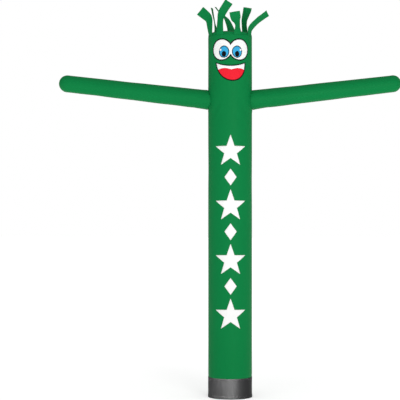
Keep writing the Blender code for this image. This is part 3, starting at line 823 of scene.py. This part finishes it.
def make_strip(name, tube, root_degrees, length, table, curl, seed):
    """A hair strip: its root hugs the head, and it turns, ripples a little and curls at its free end."""
    rows, columns = 64, 16
    ring = RADIUS + 0.0019
    root = math.radians(root_degrees)
    centre = Vector((ring * math.sin(root), -ring * math.cos(root), SEAM_Z - STRIP_LAP))
    draw = np.random.default_rng(seed)
    phases = draw.uniform(0, 2 * math.pi, 4)
    grid = np.zeros((rows + 1, columns + 1, 3))
    for row in range(rows + 1):
        share = row / rows
        lean, back, turn = (math.radians(table_value(table, share, c)) for c in (1, 2, 3))
        width = STRIP_WIDTH * table_value(table, share, 4)
        up = Vector((math.sin(lean) * math.cos(back), math.sin(back), math.cos(lean) * math.cos(back)))
        across = Vector((math.cos(turn), math.sin(turn), 0))
        across = (across - up * across.dot(up)).normalized()
        outward = across.cross(up)
        if row:
            centre = centre + up * (length / rows)
        bow = (1 - share) / ring if abs(root_degrees) < 90 else -(1 - share) / ring
        free = max(0.0, (share - 0.12) / 0.88)
        for column in range(columns + 1):
            t = 2 * column / columns - 1
            u = width * t / 2
            ripple = 0.0022 * math.sin(9 * share + 1.3 * t + phases[0]) * t
            ripple += 0.0012 * math.sin(17 * share - 2.0 * t + phases[1])
            ripple += 0.0008 * math.sin(31 * share + 3.0 * t + phases[2])
            rolled = 0.001 * curl * share**3 * (1.5 * t * t - 0.5)
            lift = free * ripple + rolled - bow * u * u / 2
            grid[row, column] = centre + across * u + outward * lift
    lay_root(grid, tube)
    faces, corners = grid_faces(rows + 1, columns + 1, wrap=False)
    uvs = [[(b * STRIP_WIDTH / columns, a * length / rows) for a, b in quad] for quad in corners]
    strip = thicken(add_piece(name + "_cloth", grid.reshape(-1, 3), faces, "green_cloth", uvs), offset=0)
    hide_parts(name)
    return strip, Surface(grid, wrap=False)


# Patches

def tube_place(s, z):
    """The tube's row and column at a place on the flat cloth."""
    rows = np.interp(z, LEVELS, np.arange(len(LEVELS)))
    columns = (np.asarray(s, float) / RADIUS + math.pi) / (2 * math.pi) * COLUMNS
    return rows, columns


def resampled(outline, step, closed=True):
    """The outline with points no further apart than the step, its own corners kept."""
    line = []
    count = len(outline) if closed else len(outline) - 1
    for k in range(count):
        a, b = np.array(outline[k], float), np.array(outline[(k + 1) % len(outline)], float)
        pieces = max(1, math.ceil(np.linalg.norm(b - a) / step))
        line += [tuple(a + (b - a) * m / pieces) for m in range(pieces)]
    if not closed:
        line.append(tuple(map(float, outline[-1])))
    return line


def inside(points, outline):
    """Which points lie inside a closed outline."""
    x, y = points[:, 0], points[:, 1]
    odd = np.zeros(len(points), bool)
    for (x1, y1), (x2, y2) in zip(outline, outline[1:] + outline[:1]):
        crosses = (y1 > y) != (y2 > y)
        with np.errstate(divide="ignore", invalid="ignore"):
            odd ^= crosses & (x < (x2 - x1) * (y - y1) / (y2 - y1) + x1)
    return odd


def distance_to(points, outline):
    """How far points are from a closed outline."""
    best = np.full(len(points), np.inf)
    for a, b in zip(outline, outline[1:] + outline[:1]):
        a, b = np.array(a), np.array(b)
        d = b - a
        share = np.clip(((points - a) @ d) / max(d @ d, 1e-12), 0, 1)
        best = np.minimum(best, np.linalg.norm(points - (a + share[:, None] * d), axis=1))
    return best


def outline_area(outline):
    x, y = np.array(outline).T
    return abs(np.dot(x, np.roll(y, -1)) - np.dot(y, np.roll(x, -1))) / 2


PATCH_STEP = 0.008
PATCH_CLOTH = 0.0006


def make_patch(name, tube, outline, layer, slot, hole=None):
    """A sewn-on shape of thin cloth that follows the tube's surface."""
    outline = resampled(outline, PATCH_STEP)
    loops = [outline] if hole is None else [outline, resampled(hole, PATCH_STEP)]
    low, high = np.min(outline, 0), np.max(outline, 0)
    xs = np.arange(low[0] + PATCH_STEP / 2, high[0], PATCH_STEP)
    ys = np.arange(low[1] + PATCH_STEP / 2, high[1], PATCH_STEP)
    grid = np.array([(x + (PATCH_STEP / 2 if k % 2 else 0), y) for k, y in enumerate(ys) for x in xs])
    keep = inside(grid, outline)
    for loop in loops:
        keep &= distance_to(grid, loop) > PATCH_STEP * 0.55
    if hole is not None:
        keep &= ~inside(grid, loops[1])
    verts = [Vector(p) for loop in loops for p in loop] + [Vector(p) for p in grid[keep]]
    edges, start = [], 0
    for loop in loops:
        edges += [(start + k, start + (k + 1) % len(loop)) for k in range(len(loop))]
        start += len(loop)
    flat, _, faces, *_ = delaunay_2d_cdt(verts, edges, [], 0, 1e-6)
    flat = np.array(flat)
    middles = np.array([flat[list(face)].mean(0) for face in faces])
    wanted = inside(middles, outline)
    if hole is not None:
        wanted &= ~inside(middles, loops[1])
    faces = [list(face) for face, yes in zip(faces, wanted) if yes]
    for face in faces:
        (ax, ay), (bx, by), (cx, cy) = flat[face]
        if (bx - ax) * (cy - ay) - (by - ay) * (cx - ax) < 0:
            face.reverse()
    faces, _, (flat,) = used_only(flat, faces)
    lift = 0.0002 + PATCH_CLOTH + layer * (PATCH_CLOTH + 0.0002)
    points, _ = tube.at(*tube_place(flat[:, 0], flat[:, 1]), lift)
    uvs = [[tuple(flat[k]) for k in face] for face in faces]
    patch = thicken(add_piece(name + "_patch", points, faces, slot, uvs), PATCH_CLOTH)
    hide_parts(name)
    return patch, tuple(high - low), outline_area(outline)


class Sewing:
    """Stitches and raised edges, gathered by thread colour and made into one piece for each at the end."""

    def __init__(self):
        self.points = {}
        self.faces = {}

    def add(self, slot, points, faces):
        have = self.points.setdefault(slot, [])
        shift = len(have)
        have.extend(points)
        self.faces.setdefault(slot, []).extend([[k + shift for k in face] for face in faces])

    def stitches(self, slot, points, normals, closed=False):
        """A row of stitches along a line on the cloth."""
        points, normals = np.asarray(points), np.asarray(normals)
        if closed:
            points, normals = np.vstack([points, points[:1]]), np.vstack([normals, normals[:1]])
        mark = np.concatenate([[0], np.cumsum(np.linalg.norm(np.diff(points, axis=0), axis=1))])
        count = int(mark[-1] / STITCH_PITCH)
        pitch = mark[-1] / max(count, 1)
        for k in range(count):
            ends = [(k + 0.5) * pitch - STITCH / 2, (k + 0.5) * pitch + STITCH / 2]
            middle = (k + 0.5) * pitch
            first, last, centre = (
                np.array([np.interp(m, mark, points[:, axis]) for axis in range(3)]) for m in (*ends, middle)
            )
            up = np.array([np.interp(middle, mark, normals[:, axis]) for axis in range(3)])
            ahead = last - first
            ahead /= max(np.linalg.norm(ahead), 1e-9)
            beside = np.cross(ahead, up)
            beside /= max(np.linalg.norm(beside), 1e-9)
            up = np.cross(beside, ahead)
            quarter = ahead * STITCH / 4
            half = THREAD / 2
            rings = [
                c + a * half * beside + b * half * up
                for c in (centre - quarter + up * half * 0.6, centre + quarter + up * half * 0.6)
                for a, b in ((1, 0), (0, 1), (-1, 0), (0, -1))
            ]
            body = [first - up * half * 0.4, *rings, last - up * half * 0.4]
            sides = [[0, 1 + m, 1 + (m + 1) % 4] for m in range(4)]
            sides += [[1 + m, 5 + m, 5 + (m + 1) % 4, 1 + (m + 1) % 4] for m in range(4)]
            sides += [[5 + (m + 1) % 4, 5 + m, 9] for m in range(4)]
            self.add(slot, body, [list(reversed(face)) for face in sides])

    def cord_edge(self, slot, points, normals, width, height, closed=True):
        """A low rounded ridge along a line on the cloth, such as a satin-stitched edge or a felled seam."""
        points, normals = np.asarray(points), np.asarray(normals)
        if closed:
            ahead = np.roll(points, -1, 0) - np.roll(points, 1, 0)
        else:
            ahead = np.gradient(points, axis=0)
        beside = np.cross(ahead, normals)
        beside /= np.linalg.norm(beside, axis=1, keepdims=True)
        profile = [(math.cos(t), math.sin(t)) for t in np.linspace(0, math.pi, 6)]
        profile += [(0.0, -0.25)]
        rows = np.array([points + beside * width / 2 * a + normals * height * b for a, b in profile])
        rows = rows.transpose(1, 0, 2)
        count, around = len(points), len(profile)
        faces = []
        for k in range(count if closed else count - 1):
            m = (k + 1) % count
            for p in range(around):
                q = (p + 1) % around
                faces.append([k * around + p, m * around + p, m * around + q, k * around + q])
        if not closed:
            faces.append(list(range(around)))
            faces.append([(count - 1) * around + p for p in reversed(range(around))])
        self.add(slot, rows.reshape(-1, 3), faces)

    def make(self):
        made = {}
        for slot, points in self.points.items():
            made[slot] = add_piece("sewing_" + slot, points, self.faces[slot], slot, finish=THREADS[slot])
        return made


def oval(s, z, half_width, half_height, steps=72):
    turns = [2 * math.pi * k / steps for k in range(steps)]
    return [(s + half_width * math.cos(a), z + half_height * math.sin(a)) for a in turns]


def joined_eyes(radius, steps=110):
    """Two overlapping discs side by side as one outline, with a notch above and below."""
    notch = math.acos(EYE_S / radius)
    turns = [notch - math.pi + (2 * math.pi - 2 * notch) * k / steps for k in range(steps)]
    right = [(EYE_S + radius * math.cos(t), EYE_Z + radius * math.sin(t)) for t in turns]
    return right + [(-s, 2 * EYE_Z - z) for s, z in right]


def mouth_lid(half_width, corner_z, steps=48):
    shares = [2 * k / steps - 1 for k in range(steps + 1)]
    return [(half_width * t, corner_z - MOUTH_DIP * (1 - t * t)) for t in shares]


def bowl_point(half_width, corner_z, depth, turn):
    s = half_width * math.cos(turn) + MOUTH_SKEW * math.sin(turn)
    return s, corner_z - depth * math.sin(turn)


def mouth_bowl(half_width, corner_z, depth, start=0.0, steps=64):
    turns = [start + (math.pi - 2 * start) * k / steps for k in range(steps + 1)]
    return [bowl_point(half_width, corner_z, depth, turn) for turn in turns]


def tongue_line(centre_s, half_width, z, steps=64):
    line = []
    for k in range(steps + 1):
        t = 1 - 2 * k / steps
        rise = TONGUE_RISE * (1 - t**4) - TONGUE_CLEFT * max(0, 1 - 2 * abs(t)) ** 1.5
        line.append((centre_s + half_width * t, z + rise))
    return line


def sewn_edge(sewing, tube, outline, slot, layer, width=0.0026):
    """A satin-stitched edge over a patch's outline."""
    line = np.array(resampled(outline, 0.005))
    lift = 0.0002 + PATCH_CLOTH + layer * (PATCH_CLOTH + 0.0002)
    points, normals = tube.at(*tube_place(line[:, 0], line[:, 1]), lift - 0.0001)
    sewing.cord_edge(slot, points, normals, width, 0.0006)


def make_face(tube, sewing):
    """The eyes and the open smile."""
    whites, rim = joined_eyes(EYE_RADIUS), joined_eyes(EYE_RADIUS + RIM_WIDTH)
    eye_rim, _, _ = make_patch("eye_rim", tube, rim, 0, "black_cloth", hole=whites)
    eye_whites, size, area = make_patch("eye_whites", tube, whites, 0, "white_cloth")
    sewn_edge(sewing, tube, rim, "black_cloth", 0)
    sewn_edge(sewing, tube, whites, "black_cloth", 0)
    for name, side in (("left", -1), ("right", 1)):
        s = side * IRIS_S
        iris = oval(s, IRIS_Z, IRIS_HALF_WIDTH, IRIS_HALF_HEIGHT)
        rim = oval(s, IRIS_Z, IRIS_HALF_WIDTH + IRIS_RIM_WIDTH, IRIS_HALF_HEIGHT + IRIS_RIM_WIDTH)
        iris_rim, _, _ = make_patch(f"iris_rim_{name}", tube, rim, 1, "black_cloth", hole=iris)
        patch, size, area = make_patch(f"iris_{name}", tube, iris, 1, "blue_cloth")
        sewn_edge(sewing, tube, iris, "black_cloth", 1)
        sewn_edge(sewing, tube, rim, "black_cloth", 1, 0.0020)
        pupil = oval(s, PUPIL_Z, PUPIL_HALF_WIDTH, PUPIL_HALF_HEIGHT)
        glint = oval(side * GLINT_S, GLINT_Z, GLINT_RADIUS, GLINT_RADIUS, 36)
        for part, outline, slot in (("pupil", pupil, "black_cloth"), ("glint", glint, "white_cloth")):
            patch, size, area = make_patch(f"{part}_{name}", tube, outline, 2, slot)
            sewn_edge(sewing, tube, outline, slot, 2, 0.0018)

    hole = mouth_lid(MOUTH_HALF_WIDTH, MOUTH_CORNER_Z)
    hole += mouth_bowl(MOUTH_HALF_WIDTH, MOUTH_CORNER_Z, MOUTH_DEPTH)[1:-1]
    wide, high = MOUTH_HALF_WIDTH + RIM_WIDTH * 1.2, MOUTH_CORNER_Z + RIM_WIDTH * 0.9
    rim = mouth_lid(wide, high) + mouth_bowl(wide, high, MOUTH_DEPTH + RIM_WIDTH * 1.9)[1:-1]
    mouth_rim, _, _ = make_patch("mouth_rim", tube, rim, 0, "black_cloth", hole=hole)
    start = math.asin(TONGUE_DROP / MOUTH_DEPTH)
    bowl = mouth_bowl(MOUTH_HALF_WIDTH, MOUTH_CORNER_Z, MOUTH_DEPTH, start)
    centre, half = MOUTH_SKEW * math.sin(start), MOUTH_HALF_WIDTH * math.cos(start)
    line = tongue_line(centre, half, MOUTH_CORNER_Z - TONGUE_DROP)
    tongue, size, area = make_patch("tongue", tube, bowl + list(reversed(line))[1:-1], 0, "red_cloth")
    cheek = [start * k / 12 for k in range(1, 12)]
    right = [bowl_point(MOUTH_HALF_WIDTH, MOUTH_CORNER_Z, MOUTH_DEPTH, t) for t in cheek]
    left = [bowl_point(MOUTH_HALF_WIDTH, MOUTH_CORNER_Z, MOUTH_DEPTH, math.pi - t) for t in reversed(cheek)]
    outline = mouth_lid(MOUTH_HALF_WIDTH, MOUTH_CORNER_Z) + right + line + left
    teeth, size, area = make_patch("teeth", tube, outline, 0, "white_cloth")
    sewn_edge(sewing, tube, rim, "black_cloth", 0)
    sewn_edge(sewing, tube, hole, "black_cloth", 0)
    lip = np.array(resampled(line, 0.005, closed=False))
    points, normals = tube.at(*tube_place(lip[:, 0], lip[:, 1]), 0.0007)
    sewing.cord_edge("red_cloth", points, normals, 0.0024, 0.0006, closed=False)


def star(z):
    points = []
    for k in range(10):
        turn = math.pi * k / 5
        radius = STAR_INNER_RADIUS if k % 2 else STAR_RADIUS
        points.append((radius * math.sin(turn), z + radius * math.cos(turn)))
    return points


def make_column(tube, sewing):
    """Plain stars and diamonds in turn down the front."""
    star_drop = STAR_RADIUS * math.cos(math.pi / 5)
    top = COLUMN_TOP_Z
    for number, shape in enumerate(COLUMN, start=1):
        rise = drop = DIAMOND_HALF_HEIGHT
        if shape == "star":
            rise, drop = STAR_RADIUS, star_drop
            outline = star(top - rise)
        else:
            z = top - rise
            outline = [(0, z + rise), (-DIAMOND_HALF_WIDTH, z), (0, z - drop), (DIAMOND_HALF_WIDTH, z)]
        patch, size, area = make_patch(f"{shape}_{number}", tube, outline, 0, "white_cloth")
        sewn_edge(sewing, tube, outline, "white_cloth", 0)
        top -= rise + drop + COLUMN_SPACE


# Seams

def make_seams(tube, arms, sleeve, sleeve_heights, sewing):
    """Felled seams at the crown, the back, the sleeve and the shoulders, with their stitches."""
    every = np.arange(COLUMNS)
    top = len(LEVELS) - 1
    points, normals = tube.at(np.full(COLUMNS, top), every)
    level = normals * (1, 1, 0)
    sewing.cord_edge("green_cloth", points + (0, 0, 0.0005), level, 0.0045, 0.0016)
    for drop in (0.006,):
        row = np.interp(SEAM_Z - drop, LEVELS, np.arange(top + 1))
        sewing.stitches("green_cloth", *tube.at(np.full(COLUMNS, row), every, 0.0002), closed=True)

    rows = np.arange(np.searchsorted(LEVELS, SLEEVE_TOP_Z + 0.002), top)
    for column, slot in ((0.0, "green_cloth"),):
        points, normals = tube.at(rows, np.full(len(rows), column))
        sewing.cord_edge(slot, points, normals, 0.012, 0.0010, closed=False)
        for offset in (-0.0045, 0.0045):
            shift = offset / (2 * math.pi * RADIUS) * COLUMNS
            sewing.stitches(slot, *tube.at(rows, np.full(len(rows), column + shift), 0.0010))

    for height in (0.006, HEM_HEIGHT - 0.005, SLEEVE_TOP_Z - 0.006, SLEEVE_TOP_Z - 0.019):
        row = np.interp(height, sleeve_heights, np.arange(len(sleeve_heights)))
        sewing.stitches("sleeve_cloth", *sleeve.at(np.full(COLUMNS, row), every, 0.0001), closed=True)
    rows = np.arange(1, len(sleeve_heights) - 1)
    points, normals = sleeve.at(rows, np.zeros(len(rows)))
    sewing.cord_edge("sleeve_cloth", points, normals, 0.014, 0.0010, closed=False)
    for shift in (-0.4, 0.4):
        sewing.stitches("sleeve_cloth", *sleeve.at(rows, np.full(len(rows), shift), 0.0010))

    around = np.arange(ARM_COLUMNS)
    for side, arm in arms.items():
        points, normals = arm.at(np.zeros(ARM_COLUMNS), around)
        outward = points * (1, 1, 0)
        outward /= np.linalg.norm(outward, axis=1, keepdims=True)
        corner = normals + outward
        corner /= np.linalg.norm(corner, axis=1, keepdims=True)
        if side < 0:
            points, corner = points[::-1], corner[::-1]
        sewing.cord_edge("green_cloth", points, corner, 0.0050, 0.0016)
        sewing.stitches("green_cloth", *arm.at(np.full(ARM_COLUMNS, 0.9), around, 0.0002), closed=True)
        rows = np.arange(0.5, arm.grid.shape[0] - 9)
        below = ARM_COLUMNS * 3 / 4
        points, normals = arm.at(rows, np.full(len(rows), below))
        sewing.cord_edge("green_cloth", points, normals, 0.010, 0.0010, closed=False)
        for offset in (-0.6, 0.6):
            sewing.stitches("green_cloth", *arm.at(rows, np.full(len(rows), below + offset), 0.0010))


def sew_strip(surface, sewing):
    """A row of stitches along each edge of a hair strip, and two across its root."""
    last_row, last_column = surface.grid.shape[0] - 1, surface.grid.shape[1] - 1
    rows = np.arange(2, last_row + 0.0)
    for column in (0.7, last_column - 0.7):
        sewing.stitches("green_cloth", *surface.at(rows, np.full(len(rows), column), 0.0004))
    columns = np.arange(0.5, last_column)
    for row in (0.5, 1.3):
        sewing.stitches("green_cloth", *surface.at(np.full(len(columns), row), columns, 0.0004))


# The floor, the light and the camera

# The sleeve's own lights: how many degrees round to the right each stands, its size and its power.
SLEEVE_LIGHTS = (
    ("sleeve_front", 8, 0.9, 1600),
    ("sleeve_left", -36, 1.6, 760),
    ("sleeve_far_left", -80, 2.0, 300),
)


def make_floor():
    """A wide pale floor, level with the sleeve's hem, that brightens into the white background far away."""
    half = 60.0
    mesh = bpy.data.meshes.new("floor")
    mesh.from_pydata([(-half, -half, 0), (half, -half, 0), (half, half, 0), (-half, half, 0)], [], [(0, 1, 2, 3)])
    finish = bpy.data.materials.new("pale_floor")
    finish.use_nodes = True
    tree = finish.node_tree
    shader = tree.nodes["Principled BSDF"]
    shader.inputs["Specular IOR Level"].default_value = 0.1
    shader.inputs["Roughness"].default_value = 0.8
    shader.inputs["Emission Color"].default_value = (1, 1, 1, 1)
    in_space = node(tree, "ShaderNodeTexCoord").outputs["Object"]
    speck = node(tree, "ShaderNodeTexNoise", Vector=in_space, Scale=1.5, Detail=3.0).outputs["Fac"]
    shade = node(
        tree, "ShaderNodeMix", {"data_type": "RGBA"}, Factor=speck, i6=(0.92, 0.92, 0.92, 1), i7=(0.95, 0.95, 0.95, 1)
    )
    tree.links.new(shade.outputs[2], shader.inputs["Base Color"])
    away = node(tree, "ShaderNodeVectorMath", {"operation": "LENGTH"}, i0=in_space).outputs["Value"]
    glow = node(
        tree, "ShaderNodeMapRange", {"interpolation_type": "SMOOTHSTEP"},
        Value=away, From_Min=1.0, From_Max=9.0, To_Min=0.40, To_Max=0.62,
    )
    tree.links.new(glow.outputs["Result"], shader.inputs["Emission Strength"])
    mesh.materials.append(finish)
    floor = bpy.data.objects.new("floor", mesh)
    bpy.context.scene.collection.objects.link(floor)
    floor.location.z = -0.0005


def add_area_light(name, place, aim, size, power):
    light = bpy.data.lights.new(name, "AREA")
    light.shape = "DISK"
    light.size = size
    light.energy = power
    obj = bpy.data.objects.new(name, light)
    obj.location = place
    obj.rotation_euler = (Vector(aim) - Vector(place)).to_track_quat("-Z", "Y").to_euler()
    bpy.context.scene.collection.objects.link(obj)
    return obj


def make_sleeve_light(pieces):
    """Three lights for the sleeve alone, which draw the long soft shine down its coated cloth."""
    lit = bpy.data.collections.new("lit_by_sleeve_lights")
    for piece in pieces:
        lit.objects.link(piece)
    for name, degrees, size, power in SLEEVE_LIGHTS:
        turn = math.radians(degrees)
        place = (4.0 * math.sin(turn), -4.0 * math.cos(turn), 0.8)
        add_area_light(name, place, (0, 0, 0.1), size, power).light_linking.receiver_collection = lit


def make_light():
    """A soft surround, brightest in front and above, that is plain white as a background, and two soft lights."""
    world = bpy.data.worlds.new("surround")
    bpy.context.scene.world = world
    world.use_nodes = True
    tree = world.node_tree
    direction = node(tree, "ShaderNodeSeparateXYZ", Vector=node(tree, "ShaderNodeTexCoord").outputs["Generated"])
    behind = math_node(tree, "MULTIPLY", direction.outputs["Y"], -0.20)
    above = math_node(tree, "MULTIPLY", direction.outputs["Z"], 0.30)
    soft = math_node(tree, "ADD", math_node(tree, "ADD", 0.42, behind), above)
    seen = node(tree, "ShaderNodeLightPath").outputs["Is Camera Ray"]
    strength = math_node(tree, "MAXIMUM", soft, seen)
    background = tree.nodes["Background"]
    background.inputs["Color"].default_value = (1, 1, 1, 1)
    tree.links.new(strength, background.inputs["Strength"])
    add_area_light("front_right", (2.3, -7.6, 2.6), (0, 0, 1.5), 2.6, 180)
    add_area_light("front_left", (-4.5, -7.0, 4.5), (0, 0, 2.4), 4.0, 32)
    bpy.context.scene.view_settings.view_transform = "Standard"
    bpy.context.scene.view_settings.look = "None"


# The photograph's frame: how much of the dancer's plane it shows, and the camera's distance from it.
VIEW_WIDTH = 4.188
VIEW_DISTANCE = 14.3
VIEW_LEFT_OF_TUBE = 0.315
GROUND_PIXEL, PIXELS = 396.5, 400


def make_camera():
    camera = bpy.data.cameras.new("camera")
    camera.sensor_width = 36
    camera.lens = camera.sensor_width * VIEW_DISTANCE / VIEW_WIDTH
    camera.clip_end = 200
    obj = bpy.data.objects.new("camera", camera)
    height = (GROUND_PIXEL - PIXELS / 2) / PIXELS * VIEW_WIDTH
    obj.location = (-VIEW_LEFT_OF_TUBE, -VIEW_DISTANCE, height)
    obj.rotation_euler = (math.radians(90), 0, 0)
    bpy.context.scene.collection.objects.link(obj)
    bpy.context.scene.camera = obj


def main():
    tube_piece, tube = make_tube()
    make_crown()
    sewing = Sewing()
    arms = {}
    arm_pieces = []
    for name, side, seed in (("arm_left", -1, 21), ("arm_right", 1, 22)):
        piece, arms[side] = make_arm(name, side, seed)
        arm_pieces.append(piece)
    sleeve_piece, sleeve, sleeve_heights = make_sleeve()
    for seed, (name, (degrees, length, table, curl)) in enumerate(HAIR.items(), start=31):
        _, strip = make_strip(name, tube, degrees, length, table, curl, seed)
        sew_strip(strip, sewing)
    make_face(tube, sewing)
    make_column(tube, sewing)
    make_seams(tube, arms, sleeve, sleeve_heights, sewing)
    threads = sewing.make()
    make_floor()
    make_light()
    make_sleeve_light([sleeve_piece, threads["sleeve_cloth"]])
    make_camera()


main()
